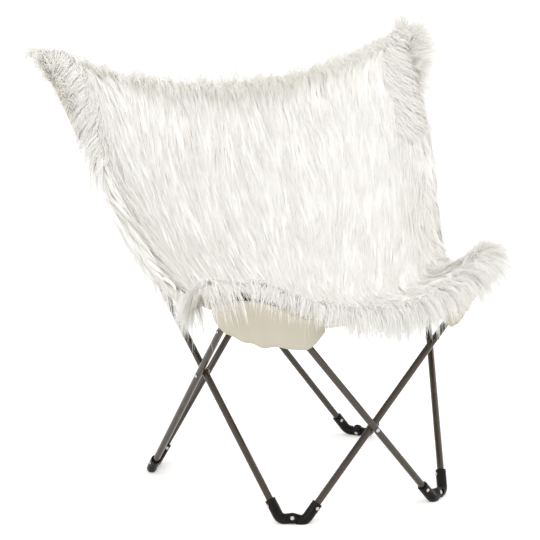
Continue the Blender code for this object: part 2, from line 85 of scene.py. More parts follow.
# Each quarter of the sling: the body that carries it, and the lower and upper end of its tube
QUARTERS = {
    "back_left": ("tall_left", (-0.1798, -0.2484, -0.0311), (-0.4516, 0.3039, 0.9139)),
    "back_right": ("tall_right", (0.1796, -0.2644, -0.0311), (0.4514, 0.3214, 0.9139)),
    "seat_left": ("low_left", (-0.2732, 0.2542, -0.0311), (-0.2995, -0.3163, 0.5425)),
    "seat_right": ("low_right", (0.2730, 0.2367, -0.0311), (0.2993, -0.3003, 0.5425)),
}

# Each pocket: its body, its pin, the directions outward, inward and off the cloth, and its lap
POCKETS = {
    "wing_left": ("tall_left", (-0.4248, 0.2851, 0.8777), (-0.6264, -0.7767, -0.0661),
                  (0.4375, -0.2801, -0.8545), (-0.6452, 0.5642, -0.5153), 0.0091),
    "wing_right": ("tall_right", (0.4252, 0.3027, 0.8794), (0.6124, -0.7894, -0.0429),
                   (-0.4368, -0.2927, -0.8506), (0.6589, 0.5397, -0.5240), 0.0091),
    "horn_left": ("low_left", (-0.2705, -0.2829, 0.4789), (-0.6893, 0.7216, 0.0647),
                  (0.3742, 0.4311, -0.8210), (-0.6204, -0.5417, -0.5672), 0.0),
    "horn_right": ("low_right", (0.2697, -0.2671, 0.4767), (0.7020, 0.7109, 0.0417),
                   (-0.3730, 0.4170, -0.8288), (0.6066, -0.5663, -0.5579), 0.0),
}
POCKET_COLUMNS, POCKET_ROWS, POCKET_THICK = 41, 23, 0.002

# From a pocket's lap to its cloth: the eye's face, the pin's dome, play and half of the CAD cloth
POCKET_OFF = 0.0042 + 0.0022 + 0.0006 + 0.0015

# Depth of the horn pockets' wavy lower hem, from the front side to the outer side
HORN_HEM = ((-0.122, -0.095, -0.055, -0.005, 0.030, 0.060, 0.092),
            (0.094, 0.106, 0.101, 0.107, 0.098, 0.085, 0.060))
HORN_FRONT, HORN_OUTER = 0.122, 0.092

# The horn pockets' top edge and curl: at the middle, and more to the outer and to the front side
HORN_TOP, HORN_TOP_OUTER, HORN_TOP_FRONT = -0.010, 0.034, 0.060
HORN_CURL_OUTER, HORN_CURL_FRONT = 0.003, 0.036

# The wing pockets: half width and its flare, height and depth at the middle, and the sides' curl
WING_HALF, WING_FLARE, WING_TOP, WING_DEEP, WING_ROUND = 0.036, 0.024, 0.058, 0.150, 0.25
WING_CURL_OUTER, WING_CURL_INNER = 0.012, 0.026

# All pockets: the bulge and where it starts, and the height, number and slant of the soft folds
BULGE, BULGE_START = 0.016, 0.3
FOLD_HIGH, FOLD_TURNS, FOLD_SLANT = 0.0024, 15, 2.5

# Stitches: length, gap, thickness and height over the cloth, and each ring's place, size and rise
STITCH_LONG, STITCH_GAP, STITCH_THICK, STITCH_LIFT = 0.0040, 0.0018, 0.0009, 0.0002
STITCH_RINGS = ((0.0, 0.45, -0.2), (0.2, 1.0, 0.3), (0.8, 1.0, 0.3), (1.0, 0.45, -0.2))
STITCH_SIDES = 6

DOWNWARD = np.array((0.0, 0.0, -1.0))


def unit(v):
    return v / np.maximum(np.linalg.norm(v, axis=-1, keepdims=True), 1e-9)


def square_to(v, way):
    """The part of v that is square to a unit direction."""
    return v - way * np.sum(v * way, axis=-1, keepdims=True)


def rise(x, start, end):
    """0 at start, 1 at end, straight between them and level outside; start may be the larger."""
    return np.clip((x - start) / (end - start), 0, 1)


def through(knots, points, at):
    """A smooth curve through points at rising knots, for an array of places."""
    knots, points = np.array(knots), np.array(points)
    count = len(knots)
    before = np.maximum(np.arange(count) - 1, 0)
    after = np.minimum(np.arange(count) + 1, count - 1)
    slope = (points[after] - points[before]) / (knots[after] - knots[before])[:, None]
    k = np.clip(np.searchsorted(knots, at, side="left") - 1, 0, count - 2)
    width = (knots[k + 1] - knots[k])[:, None]
    t = ((at - knots[k]) / width[:, 0])[:, None]
    start = points[k] * (2 * t**3 - 3 * t**2 + 1) + slope[k] * width * (t**3 - 2 * t**2 + t)
    return start + points[k + 1] * (3 * t**2 - 2 * t**3) + slope[k + 1] * width * (t**3 - t**2)


def sling(u, v):
    """The sling's middle surface: u from the left edge (-1) to the right (1), v from top to front."""
    edge = np.where((u < 0)[:, None], through(SIDE_KNOTS, LEFT, v), through(SIDE_KNOTS, RIGHT, v))
    middle = through(MIDDLE_KNOTS, MIDDLE, v)
    at = middle + (edge - middle) * (u * u)[:, None]
    at[:, 0] = edge[:, 0] * np.abs(u)
    return at


def sling_frame(u, v, nudge=1e-3):
    """Place, direction along u, direction along v and the normal on the furred side."""
    at = sling(u, v)
    low_u, high_u = np.clip(u - nudge, -1, 1), np.clip(u + nudge, -1, 1)
    low_v, high_v = np.clip(v - nudge, 0, 1), np.clip(v + nudge, 0, 1)
    along_u = (sling(high_u, v) - sling(low_u, v)) / (high_u - low_u)[:, None]
    along_v = (sling(u, high_v) - sling(u, low_v)) / (high_v - low_v)[:, None]
    return at, along_u, along_v, unit(np.cross(along_v, along_u))


def rolled(u, v):
    """The sling with its edges rolled over: u and v may pass the edges by up to ROLL_LONG."""
    inner_u, inner_v = np.clip(u, -1, 1), np.clip(v, 0, 1)
    at, along_u, along_v, normal = sling_frame(inner_u, inner_v)
    past_u, past_v = (u - inner_u) * ACROSS, (v - inner_v) * DOWN
    drop = np.zeros(len(u))
    for past, along in ((past_u, along_u), (past_v, along_v)):
        turn = np.abs(past) / ROLL
        at = at + unit(along) * (ROLL * np.sin(turn) * np.sign(past))[:, None]
        drop = np.maximum(drop, ROLL * (1 - np.cos(turn)))
    return at - normal * drop[:, None]


def rolled_frame(u, v, nudge=2e-3):
    """The same as sling_frame, on the rolled sling."""
    along_u = (rolled(u + nudge, v) - rolled(u - nudge, v)) / (2 * nudge)
    along_v = (rolled(u, v + nudge) - rolled(u, v - nudge)) / (2 * nudge)
    return rolled(u, v), along_u, along_v, unit(np.cross(along_v, along_u))


def pocket_place(name, s, t):
    """Places on a pocket's middle surface: s across it to the outer side, t from its top to its hem."""
    pin, outward, inward, way = (np.array(x) for x in POCKETS[name][1:5])
    if name.startswith("horn"):
        across = np.where(s > 0, HORN_OUTER * s, HORN_FRONT * s)
        top = HORN_TOP + np.where(s > 0, HORN_TOP_OUTER, HORN_TOP_FRONT) * s**2
        bottom = through(HORN_HEM[0], [(0, 0, d) for d in HORN_HEM[1]], across)[:, 2]
        curl = np.where(s > 0, HORN_CURL_OUTER, HORN_CURL_FRONT) * np.abs(s)**8
    else:
        across = (WING_HALF + WING_FLARE * t) * s
        top = -WING_TOP * (1 - s**2)
        bottom = WING_DEEP * (1 - WING_ROUND * s**2)
        outer, inner = WING_CURL_OUTER * np.abs(s)**9, WING_CURL_INNER * np.abs(s)**3
        curl = np.where(s > 0, outer, inner)
    down = top + (bottom - top) * t
    off = POCKETS[name][5] + POCKET_OFF
    bulge = BULGE * (1 - s**8) * np.maximum(0, t - BULGE_START)
    fold = FOLD_HIGH * np.sin(s * FOLD_TURNS + FOLD_SLANT * t) * t * (1 - s**2)
    flat = pin + outward * across[:, None] + inward * down[:, None]
    return flat + way * (off + bulge + fold - curl)[:, None]


# Meshes


def add_object(name, data):
    item = bpy.data.objects.new(name, data)
    bpy.context.collection.objects.link(item)
    return item


def add_mesh(name, points, faces, *materials):
    """A smooth mesh object from points and faces."""
    mesh = bpy.data.meshes.new(name)
    mesh.from_pydata([tuple(p) for p in points], [], [tuple(int(i) for i in f) for f in faces])
    mesh.update()
    mesh.shade_smooth()
    for one in materials:
        mesh.materials.append(one)
    return add_object(name, mesh)


def add_sheet(name, grid, facing, thick, *materials):
    """A thin closed sheet around a grid of points; the last material is on its back and rim."""
    at = grid.reshape(-1, 3)
    low = len(at)
    index = np.arange(low).reshape(grid.shape[:2])
    a, b, c, d = index[:-1, :-1], index[:-1, 1:], index[1:, 1:], index[1:, :-1]
    front = np.stack([a, d, c, b], axis=-1).reshape(-1, 4)
    rim = np.concatenate([index[0, ::-1], index[1:, 0], index[-1, 1:], index[-2:0:-1, -1]])
    turn = np.roll(rim, -1)
    sides = np.stack([turn, rim, rim + low, turn + low], axis=-1)
    points = np.concatenate([at + facing * thick / 2, at - facing * thick / 2])
    faces = np.concatenate([front, front[:, ::-1] + low, sides])
    item = add_mesh(name, points, faces, *materials)
    which = np.full(len(faces), len(materials) - 1, np.int32)
    which[:len(front)] = 0
    item.data.polygons.foreach_set("material_index", which)
    return item


# Materials


def set_inputs(shader, values):
    for key, value in values.items():
        shader.inputs[key].default_value = value


def new_material(name, colour, roughness, finish):
    """A material with one Principled shader, and that shader and its tree."""
    material = bpy.data.materials.new(name)
    material.use_nodes = True
    shader = material.node_tree.nodes["Principled BSDF"]
    set_inputs(shader, {"Base Color": (*colour, 1.0), "Roughness": roughness, **finish})
    return material, shader, material.node_tree


def node(tree, kind, **values):
    made = tree.nodes.new(kind)
    for key, value in values.items():
        if key in made.inputs:
            made.inputs[key].default_value = value
        else:
            setattr(made, key, value)
    return made


def texture(tree, kind, place, **values):
    """A texture at the places given, as its grey value."""
    made = node(tree, kind, **values)
    tree.links.new(place, made.inputs["Vector"])
    return made.outputs["Fac"]


def ramp(tree, source, stops):
    """Colours by a value, from rising stops."""
    made = tree.nodes.new("ShaderNodeValToRGB")
    elements = made.color_ramp.elements
    elements[0].position, elements[0].color = stops[0][0], (*stops[0][1], 1.0)
    elements[1].position, elements[1].color = stops[-1][0], (*stops[-1][1], 1.0)
    for place, colour in stops[1:-1]:
        elements.new(place).color = (*colour, 1.0)
    tree.links.new(source, made.inputs["Fac"])
    return made.outputs["Color"]


def multiply(tree, first, second):
    """The product of two colours."""
    made = node(tree, "ShaderNodeMix", data_type="RGBA", blend_type="MULTIPLY")
    made.inputs[0].default_value = 1.0
    tree.links.new(first, made.inputs[6])
    tree.links.new(second, made.inputs[7])
    return made.outputs[2]


def uneven_gloss(tree, shader, source, low, high):
    made = tree.nodes.new("ShaderNodeMapRange")
    set_inputs(made, {"To Min": low, "To Max": high})
    tree.links.new(source, made.inputs["Value"])
    tree.links.new(made.outputs["Result"], shader.inputs["Roughness"])


def bumps(tree, shader, source, strength, distance):
    made = node(tree, "ShaderNodeBump", Strength=strength, Distance=distance)
    tree.links.new(source, made.inputs["Height"])
    tree.links.new(made.outputs["Normal"], shader.inputs["Normal"])


def fur_material():
    """Strand colour by root to tip, with painted shade at the roots, and by lock, read from the
    strands' own map.
    """
    finish = {"Sheen Weight": 0.25, "Sheen Roughness": 0.5, "Specular IOR Level": 0.25}
    material, shader, tree = new_material("fur_strands", (0.95, 0.945, 0.92), 0.8, finish)
    where = node(tree, "ShaderNodeUVMap", uv_map="OFBake")
    split = tree.nodes.new("ShaderNodeSeparateXYZ")
    tree.links.new(where.outputs["UV"], split.inputs["Vector"])
    # Painted shade: the roots are a darker cream for the shade deep between the locks, lighter towards
    # the tips
    along = ramp(tree, split.outputs["Y"], [(0.0, (0.905, 0.89, 0.845)), (0.4, (0.938, 0.93, 0.902)),
                                            (1.0, (0.947, 0.943, 0.924))])
    lock = ramp(tree, split.outputs["X"], [(0.0, (0.955, 0.948, 0.93)), (0.35, (0.99, 0.988, 0.982)),
                                           (1.0, (1.0, 1.0, 1.0))])
    stretch = tree.nodes.new("ShaderNodeMapping")
    stretch.inputs["Scale"].default_value = (240.0, 2.2, 1.0)
    tree.links.new(where.outputs["UV"], stretch.inputs["Vector"])
    streak = texture(tree, "ShaderNodeTexNoise", stretch.outputs["Vector"], Scale=1.0, Detail=2.0)
    fine = ramp(tree, streak, [(0.36, (0.958, 0.952, 0.938)), (0.56, (1.0, 1.0, 1.0))])
    tree.links.new(multiply(tree, multiply(tree, along, lock), fine), shader.inputs["Base Color"])
    uneven_gloss(tree, shader, streak, 0.68, 0.9)
    return material


def cloth_material(name, colour, dark, scale):
    """A fine plain weave with slight unevenness of colour and small bumps."""
    material, shader, tree = new_material(name, colour, 0.92, {"Sheen Weight": 0.15})
    place = tree.nodes.new("ShaderNodeTexCoord").outputs["Object"]
    weave = node(tree, "ShaderNodeMath", operation="ADD")
    for k, way in enumerate("XZ"):
        threads = texture(tree, "ShaderNodeTexWave", place, wave_type="BANDS", bands_direction=way,
                          Scale=scale, Distortion=1.5)
        tree.links.new(threads, weave.inputs[k])
    blotch = texture(tree, "ShaderNodeTexNoise", place, Scale=9.0, Detail=4.0)
    tree.links.new(ramp(tree, blotch, [(0.3, dark), (0.75, colour)]), shader.inputs["Base Color"])
    bumps(tree, shader, weave.outputs[0], 0.25, 0.0006)
    return material


def hard_material(name, colour, finish, gloss, cloud, shades, marks, bump):
    """Paint or bare metal with cloudy colour and gloss, and fine marks in its surface."""
    material, shader, tree = new_material(name, colour, gloss[0], finish)
    place = tree.nodes.new("ShaderNodeTexCoord").outputs["Object"]
    clouds = texture(tree, "ShaderNodeTexNoise", place, Scale=cloud[0], Detail=cloud[1])
    fine = texture(tree, "ShaderNodeTexNoise", place, Scale=marks, Detail=2.0)
    stops = [(at, tuple(shade * c for c in colour)) for at, shade in shades]
    tree.links.new(ramp(tree, clouds, stops), shader.inputs["Base Color"])
    uneven_gloss(tree, shader, clouds, *gloss)
    bumps(tree, shader, fine, *bump)
    return material


def tube_material(name, colour, gloss, shine):
    """Gloss paint with faint unevenness of colour and gloss."""
    return hard_material(name, colour, {"Specular IOR Level": shine}, gloss, (28.0, 5.0),
                         ((0.3, 0.75), (0.7, 1.35)), 900.0, (0.08, 0.0003))


def metal_material(name, colour, gloss):
    """Bare metal with turning marks and a little tarnish."""
    return hard_material(name, colour, {"Metallic": 1.0}, gloss, (420.0, 4.0),
                         ((0.32, 0.72), (0.62, 1.0)), 2600.0, (0.1, 0.0002))


FUR = fur_material()
HIDE = cloth_material("fur_backing", (0.93, 0.92, 0.88), (0.89, 0.87, 0.82), 380.0)
THREAD = cloth_material("sewing_thread", (0.78, 0.74, 0.63), (0.70, 0.66, 0.55), 1500.0)
LINING = cloth_material("lining_cloth", (0.665, 0.615, 0.50), (0.61, 0.56, 0.45), 420.0)
PAINT = tube_material("dark_paint", (0.034, 0.021, 0.009), (0.10, 0.20), 0.62)
CAST = tube_material("dark_cast", (0.008, 0.006, 0.005), (0.18, 0.34), 0.15)
METAL = metal_material("rivet_metal", (0.62, 0.61, 0.59), (0.22, 0.42))

# The fur, in locks that lie down the sling and hang over its edges

# Coats of fur: broad flat locks next to the hide, fine strands over them, loose hairs, and the edges
COATS = {
    "under": dict(count=8500, each=1, short=0.060, long=0.105, high=0.0030, spread=0.003,
                  width=0.0085, gather=0.0, columns=3, tilt=0.06, crown=0.15, chart=0.03, soft=1.0),
    "over": dict(count=4300, each=9, short=0.070, long=0.120, high=0.0045, spread=0.0048,
                 width=0.0011, gather=0.35, columns=2, tilt=0.12, crown=0.0, chart=0.0, soft=1.0),
    "loose": dict(count=1000, each=2, short=0.050, long=0.095, high=0.010, spread=0.0040,
                  width=0.0007, gather=0.1, columns=2, tilt=0.3, crown=0.0, chart=0.0, soft=0.5),
    "fringe": dict(count=1900, each=7, short=0.060, long=0.100, high=0.0075, spread=0.0040,
                   width=0.0010, gather=0.4, columns=2, tilt=0.3, crown=0.0, chart=0.0, soft=0.25),
    "wing": dict(count=760, each=8, short=0.050, long=0.085, high=0.0080, spread=0.0045,
                 width=0.0011, gather=0.4, columns=2, tilt=0.3, crown=0.0, chart=0.0, soft=0.25),
    "horn": dict(count=300, each=8, short=0.070, long=0.110, high=0.0080, spread=0.0045,
                 width=0.0010, gather=0.4, columns=2, tilt=0.3, crown=0.0, chart=0.0, soft=0.25),
    "tuft": dict(count=1150, each=8, short=0.040, long=0.070, high=0.0060, spread=0.0040,
                 width=0.0011, gather=0.3, columns=2, tilt=0.3, crown=0.0, chart=0.0, soft=0.25),
    "crest": dict(count=880, each=7, short=0.030, long=0.055, high=0.004, spread=0.0045,
                  width=0.0010, gather=0.3, columns=2, tilt=0.3, crown=0.0, chart=0.0, soft=0.25),
}

# The fur pieces of each quarter, and the coats in each
FUR_PIECES = {"under": ("under", "loose"), "fur": ("over",),
              "edge": ("fringe", "wing", "horn", "tuft", "crest")}

RIBBON_TAPER = np.array((0.8, 1.0, 1.0, 0.95, 0.8, 0.5, 0.1))
STEPS = len(RIBBON_TAPER)

# How fast a free lock bends down, by coat, and how much a lying lock turns downhill
DROOP = {"wing": 0.16, "horn": 0.27, "tuft": 0.11}
USUAL_DROOP, DOWNHILL = 0.42, 0.45

# Slow waves in the lean of the fur: size, turns along u and along v, and start
LEAN_WAVES = ((0.16, 4.3, 3.1, 0.4), (0.12, -3.9, 8.7, 1.9), (0.09, 15.0, 11.0, 5.0),
              (0.06, 29.0, -13.0, 0.0))

# How far locks sway at random, and their length at the wing tips and along the top edge
SWAY, TIP_LONG, TOP_LONG = 0.07, 0.45, 0.7

# How far the coats hang over the front edge, and less over the left horn's pocket, left of POCKET_U
FRONT_HANG, EDGE_LENGTH = 0.040, 0.012
POCKET_HANG, USUAL_POCKET_HANG = {"loose": 0.040, "fringe": 0.030}, 0.007
POCKET_U, POCKET_V, POCKET_FRINGE = -0.4, 0.9, 0.75

# The tail of longer fringe at the left corner of the seat: its span of v, and how much longer
TAIL_U, TAIL_V, TAIL_LONG = -0.85, (0.57, 0.76), 1.4

# Room around the CAD model that the fur may take, and the softness of that limit
ROOM_SHARE, ROOM_EXTRA, ROOM_SOFT = 0.03, 0.008, 0.012

# Tufts on the wings: crowding to the outer side, depth, spread, lift, share of tip locks and length
TUFTS = {
    "wing_left": dict(crowd=1.6, deep=0.9, out=0.6, lift=0.5, tips=0.4, long=0.7),
    "wing_right": dict(crowd=1.0, deep=1.0, out=1.2, lift=0.8, tips=0.0, long=1.2),
}
TIP_TUFT_LONG = 0.5


def lean_of(u, v):
    """How far the fur leans sideways, in slow waves over the sling."""
    waves = sum(size * np.sin(a * u + b * v + start) for size, a, b, start in LEAN_WAVES)
    edge = rise(np.abs(u), 0.75, 1.0)
    tube = rise(v, 0.22, 0.30) * rise(v, 0.60, 0.52) * (u < 0)
    return waves + 0.30 * np.sign(u) * edge * edge * (1 - 1.9 * tube)


def lay_locks(u, v, long, high, sway, droop):
    """Middle lines of locks: each lies along the hide at its own height and hangs free past an edge."""
    near_u, near_v = u.copy(), v.copy()
    stride = long / (STEPS - 1)
    free = np.zeros(len(u), bool)
    at, along_u, along_v, up = rolled_frame(u, v)
    place, way, face = at + up * HIDE_TOP, unit(along_v), up.copy()
    points, faces = [place], [face]
    for k in range(1, STEPS):
        ahead = unit(along_v) + unit(along_u) * (lean_of(near_u, near_v) + sway)[:, None]
        ahead = unit(unit(ahead) + DOWNHILL * square_to(DOWNWARD, up))
        square_u, square_v = np.sum(along_u**2, axis=1), np.sum(along_v**2, axis=1)
        skew = np.sum(along_u * along_v, axis=1)
        part_u, part_v = np.sum(ahead * along_u, axis=1), np.sum(ahead * along_v, axis=1)
        size = square_u * square_v - skew**2
        near_u = near_u + stride * (part_u * square_v - part_v * skew) / size
        near_v = near_v + stride * (part_v * square_u - part_u * skew) / size
        free = free | (np.abs(near_u) > REACH_U) | (near_v > 1 + REACH_V)
        near_u, near_v = np.clip(near_u, -REACH_U, REACH_U), np.clip(near_v, -REACH_V, 1 + REACH_V)
        ground, along_u, along_v, up = rolled_frame(near_u, near_v)
        rim = np.maximum(rise(np.abs(near_u), 0.86, 1.0), rise(near_v, 0.90, 1.0))
        rim = np.maximum(rim, rise(near_v, 0.07, 0.0))
        lift = high * (1 + 0.8 * rim) * math.sin(math.pi * (0.08 + 0.72 * k / (STEPS - 1)))
        way = unit(way + DOWNWARD * droop)
        lying, hanging = ground + up * (HIDE_TOP + lift[:, None]), place + way * stride[:, None]
        spot = np.where(free[:, None], hanging, lying)
        way = unit(spot - place)
        face = np.where(free[:, None], unit(square_to(face, way)), up)
        place = spot
        points.append(place)
        faces.append(face)
    return np.stack(points, axis=1), np.stack(faces, axis=1), free


def stand_locks(at, face, long, way, droop):
    """Middle lines of locks that stand out from an edge and bend over with their weight."""
    points, faces = [at], [face]
    for _ in range(1, STEPS):
        at = at + way * (long / (STEPS - 1))[:, None]
        face = unit(square_to(face, way))
        way = unit(way + DOWNWARD * droop)
        points.append(at)
        faces.append(face)
    return np.stack(points, axis=1), np.stack(faces, axis=1)


def bend_inside(path):
    """Bends strand points softly back into the room that fabric may take around the CAD model."""
    low, high = np.array(cad_low), np.array(cad_high)
    room = ROOM_SHARE * (high - low) + ROOM_EXTRA
    for axis in (0, 1, 2):
        for sign, wall in ((1, high[axis] + room[axis]), (-1, -(low[axis] - room[axis]))):
            past = np.maximum(path[..., axis] * sign - (wall - ROOM_SOFT), 0)
            path[..., axis] -= sign * (past - ROOM_SOFT * (1 - np.exp(-past / ROOM_SOFT)))
    return path


def strands_of_locks(coat, lines, faces, high):
    """Ribbons for each lock's middle line: points, normals and map by row and column, and the lock."""
    spread, crown, blur = coat["spread"], coat["crown"], coat["soft"]
    count = len(lines)
    lock = np.repeat(np.arange(count), coat["each"])
    total = len(lock)
    share = np.linspace(0, 1, STEPS)
    ways = unit(np.gradient(lines, axis=1))
    sides = unit(np.cross(ways, faces))
    # Each strand's own path beside its lock's middle line
    apart = rng.normal(0, spread, (total, 1)) * (1 - coat["gather"] * share**1.3)
    swing = rng.normal(0, 0.0016, (total, 1))
    swing = swing * np.sin(share * 5.0 + rng.uniform(0, 6.28, (total, 1))) * share
    raised = np.clip(rng.normal(0, 0.30, (total, 1)), -0.15, 0.6) * high[lock][:, None] * share
    start = rng.normal(0, 1.6 * spread, (total, 1))
    scale = rng.uniform(0.62, 1.08, total)[:, None, None]
    path = lines[:, :1][lock] + (lines - lines[:, :1])[lock] * scale
    path = path + sides[lock] * (apart + swing)[:, :, None] + faces[lock] * raised[:, :, None]
    path = bend_inside(path + ways[lock] * start[:, :, None])
    # The ribbon across that path, and its softened normals
    along = unit(np.gradient(path, axis=1))
    tilt = rng.normal(0, coat["tilt"], total)[:, None, None]
    face = faces[lock] * np.cos(tilt) + sides[lock] * np.sin(tilt)
    across = unit(np.cross(along, face))
    over = np.cross(across, along)
    half = RIBBON_TAPER[None, :] * (coat["width"] * rng.uniform(0.6, 1.2, total))[:, None] / 2
    step = np.linspace(-1, 1, coat["columns"])
    points = path[:, :, None] + (half[:, :, None] * step)[..., None] * across[:, :, None]
    points = points + (half[:, :, None] * crown * (1 - step**2))[..., None] * over[:, :, None]
    normals = unit(blur * (0.8 * faces[lock] - 0.3 * DOWNWARD) + (1 - 0.8 * blur) * over)
    normals = normals[:, :, None] + across[:, :, None] * (crown * step)[:, None]
    # The map: tint of the lock across, root to tip along
    tint = np.clip(rng.beta(3.0, 1.2, count)[lock] + rng.normal(0, 0.10, total), 0.04, 0.96)
    chart = np.empty(points.shape[:3] + (2,))
    chart[..., 0] = tint[:, None, None] + coat["chart"] * step
    chart[..., 1] = np.clip(share, 0.01, 0.99)[:, None]
    return points, unit(normals), chart, lock


def add_fur(name, sets):
    """One mesh of ribbons from sets of points, normals and map."""
    spots, facings, charts, quads, base = [], [], [], [], 0
    for points, normals, chart in sets:
        index = base + np.arange(points[..., 0].size).reshape(points.shape[:3])
        a, b, c, d = index[:, :-1, :-1], index[:, :-1, 1:], index[:, 1:, 1:], index[:, 1:, :-1]
        quads.append(np.stack([a, b, c, d], axis=-1).reshape(-1, 4))
        for held, part in ((spots, points), (facings, normals), (charts, chart)):
            held.append(part.reshape(-1, part.shape[-1]))
        base += index.size
    points, facing, chart, quads = (np.concatenate(x) for x in (spots, facings, charts, quads))
    corners = quads.ravel().astype(np.int32)
    mesh = bpy.data.meshes.new(name)
    mesh.vertices.add(len(points))
    mesh.vertices.foreach_set("co", points.astype(np.float32).ravel())
    mesh.loops.add(len(corners))
    mesh.loops.foreach_set("vertex_index", corners)
    mesh.polygons.add(len(quads))
    mesh.polygons.foreach_set("loop_start", np.arange(0, len(corners), 4, dtype=np.int32))
    mesh.update(calc_edges=True)
    mesh.shade_smooth()
    layer = mesh.uv_layers.new(name="OFBake")
    layer.uv.foreach_set("vector", chart[corners].astype(np.float32).ravel())
    mesh.normals_split_custom_set_from_vertices(facing.astype(np.float32))
    mesh.materials.append(FUR)
    return add_object(name, mesh)


def follow(item, name):
    """Rides on a quarter's tube."""
    body, low, high = QUARTERS[name]
    low, high = Vector(low), Vector(high)
    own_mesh(item)
    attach(item, body)


def fur_roots(count, cells_u=120, cells_v=160):
    """Random places on the rolled sling, evenly by area, with no lean of their own."""
    edge_u = np.linspace(-REACH_U, REACH_U, cells_u + 1)
    edge_v = np.linspace(-REACH_V, 1 + REACH_V, cells_v + 1)
    mid_u, mid_v = np.meshgrid((edge_u[1:] + edge_u[:-1]) / 2, (edge_v[1:] + edge_v[:-1]) / 2)
    _, along_u, along_v, _ = rolled_frame(mid_u.ravel(), mid_v.ravel())
    area = np.linalg.norm(np.cross(along_u, along_v), axis=1)
    cell = rng.choice(area.size, size=count, p=area / area.sum())
    u = mid_u.ravel()[cell] + (rng.random(count) - 0.5) * (edge_u[1] - edge_u[0])
    v = mid_v.ravel()[cell] + (rng.random(count) - 0.5) * (edge_v[1] - edge_v[0])
    return u, v, 0.0


def fringe_roots(count):
    """Places just inside the side edges and along the front edge, and how far each leans outward."""
    side = np.where(rng.random(count) < 0.5, -1.0, 1.0)
    front = rng.random(count) < 0.42
    u = np.where(front, rng.uniform(-1, 1, count), side * rng.uniform(0.88, 1.0, count))
    v = np.where(front, rng.uniform(0.94, 1.01, count), rng.uniform(0.16, 1.0, count))
    corner = ~front & (rng.random(count) < 0.3)
    v = np.where(corner, rng.uniform(0.57, 0.80, count), v)
    lean = np.where(v > 0.75, rng.uniform(0.2, 0.7, count), rng.uniform(-0.25, 0.1, count))
    lean = np.where((v > 0.28) & (v < 0.58) & (side < 0), lean - 0.25, lean)
    lean = np.where(corner, rng.uniform(0.5, 1.5, count), lean)
    return u, v, np.where(front, 1.5 * rise(u, 0.45, 1.0), side * lean)


def horn_roots(count):
    """Places along the right horn's edge, from which fur stands out sideways."""
    u, v = rng.uniform(0.80, 1.02, count), rng.uniform(0.86, 1.02, count)
    return u, v, rng.uniform(0.9, 2.2, count)


def wing_roots(count):
    """Places along the wings' side edges, from which fur spreads outward."""
    side = np.where(rng.random(count) < 0.5, -1.0, 1.0)
    lean = np.where(side > 0, rng.uniform(0.5, 1.3, count), rng.uniform(0.2, 0.9, count))
    return side * rng.uniform(0.88, 1.02, count), rng.uniform(-0.01, 0.22, count), side * lean


ROOTS = {"fringe": fringe_roots, "wing": wing_roots, "horn": horn_roots}


def lying_locks(kind, coat, high):
    """Locks that lie on the hide, shorter near the tips and where they would hang over the front."""
    count = len(high)
    u, v, outward = ROOTS.get(kind, fur_roots)(count)
    sway = outward + rng.normal(0, SWAY, count)
    hang = np.where(u < POCKET_U, POCKET_HANG.get(kind, USUAL_POCKET_HANG), FRONT_HANG)
    hang = hang * rng.uniform(0.6, 1.5, count)
    tip = (v < 0.04) & (np.abs(u) > 0.9)
    long = rng.uniform(coat["short"], coat["long"], count)
    long = long * np.where(tip, TIP_LONG, np.where(v < 0.05, TOP_LONG, 1.0))
    if kind == "fringe":
        tail = (u < TAIL_U) & (v > TAIL_V[0]) & (v < TAIL_V[1])
        long = np.where(tail, TAIL_LONG * long, long)
    if kind != "horn":
        long = np.minimum(long, np.maximum(1.0 - v, 0) + EDGE_LENGTH + hang)
    lines, faces, free = lay_locks(u, v, long, high, sway, DROOP.get(kind, USUAL_DROOP))
    if kind == "under":
        kept = ~free
    else:
        bare = (u < POCKET_U) & (v > POCKET_V) & (kind == "fringe")
        kept = rng.random(count) < np.where(bare, POCKET_FRINGE, 1.0)
    kept = kept & ~((np.abs(u) > 0.95) & (v < 0.02))
    return tuple(x[kept] for x in (u, v, high, lines, faces))


def tuft_locks(kind, coat, high):
    """Locks on the outer half of the wing pockets, where the furred hide wraps over the corner."""
    count = len(high)
    shares = (count // 3, count - count // 3)
    u, lines, faces = np.repeat((-1.0, 1.0), shares), [], []
    for (name, tuft), many in zip(TUFTS.items(), shares):
        outward, inward, way = (np.array(x) for x in POCKETS[name][2:5])
        s = 1 - rng.random(many)**tuft["crowd"] * 1.3
        t = rng.random(many)**1.1 * tuft["deep"]
        at = pocket_place(name, s, t) - way * 0.003
        out = np.where(s > 0, 0.5 + 0.7 * rng.random(many), 0.1) * tuft["out"]
        go = outward * out[:, None] - inward * (tuft["lift"] - 1.9 * t)[:, None]
        go = go - way * rng.uniform(0.4, 0.9, (many, 1))
        # Short locks that close the pocket's top
        tip = rng.random(many) < tuft["tips"]
        s = np.where(tip, rng.uniform(-0.7, 1.0, many), s)
        t = np.where(tip, rng.uniform(0, 0.2, many), t)
        at = np.where(tip[:, None], pocket_place(name, s, t), at)
        upward = outward * rng.uniform(-0.3, 0.6, (many, 1)) - inward * 0.7
        upward = upward - way * rng.uniform(-0.2, 0.8, (many, 1))
        go = np.where(tip[:, None], upward + rng.normal(0, 0.2, (many, 3)), go)
        go = unit(go + rng.normal(0, 0.18, (many, 3)))
        long = rng.uniform(coat["short"], coat["long"], many)
        long = long * np.where(tip, TIP_TUFT_LONG, tuft["long"])
        face = unit(square_to(np.tile(-way, (many, 1)), go))
        line, facing = stand_locks(at, face, long, go, DROOP[kind])
        lines.append(line)
        faces.append(facing)
    return u, np.full(count, 0.05), high, np.concatenate(lines), np.concatenate(faces)


